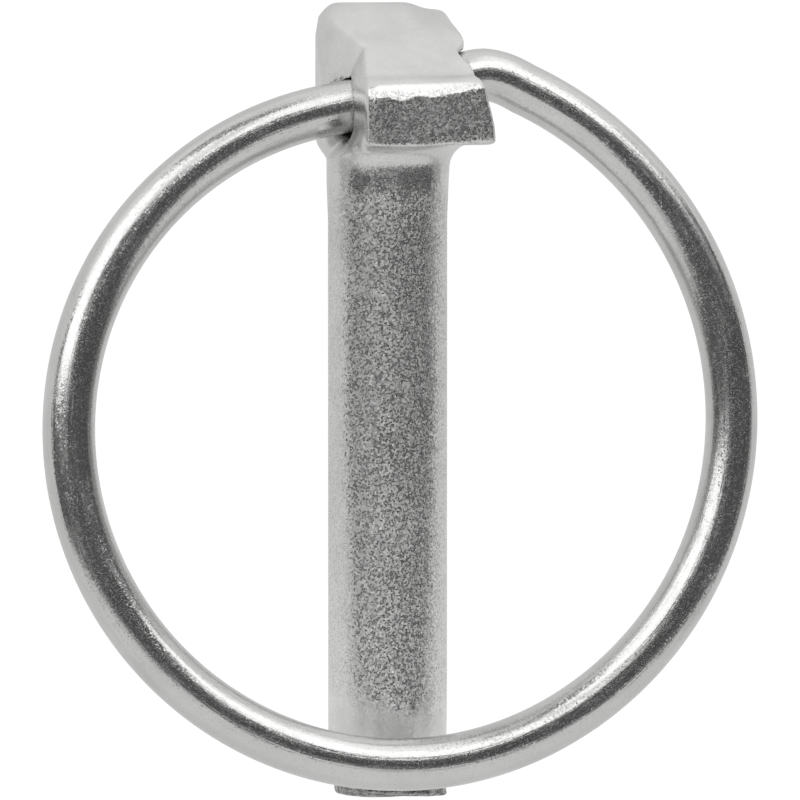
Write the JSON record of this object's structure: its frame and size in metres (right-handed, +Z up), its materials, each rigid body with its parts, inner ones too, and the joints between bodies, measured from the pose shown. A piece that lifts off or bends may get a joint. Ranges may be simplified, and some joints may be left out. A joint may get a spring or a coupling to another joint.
{
  "type": "lynch pin",
  "caption": "Lynch pin: a round steel pin with a slope-topped head and a spring ring that swings on the head and snaps down over the pin's end.",
  "frame": {"origin": "middle of the part's outline seen from above, on the surface that it lies on", "axes": "+Y runs along the pin from its tip to its head, +X to the right seen from the front, +Z up, out of the front of the pin that the closed ring crosses"},
  "size_m": [0.0486, 0.0533, 0.0116],
  "materials": {
    "pin_steel": "zinc-plated forged steel, fine-grained satin",
    "ring_steel": "zinc-plated spring steel wire, bright with fine draw lines"
  },
  "bodies": {
    "pin": {"pin_body": "pin_steel"},
    "ring": {"spring_ring": "ring_steel"}
  },
  "joints": [
    {"name": "ring_swing", "type": "hinge", "parent": "pin", "child": "ring", "pos_m": [-0.00049, 0.02016, 0.0047], "axis": [-0.9816, -0.1907, -0.0066], "range_deg": [0, 172]}
  ]
}
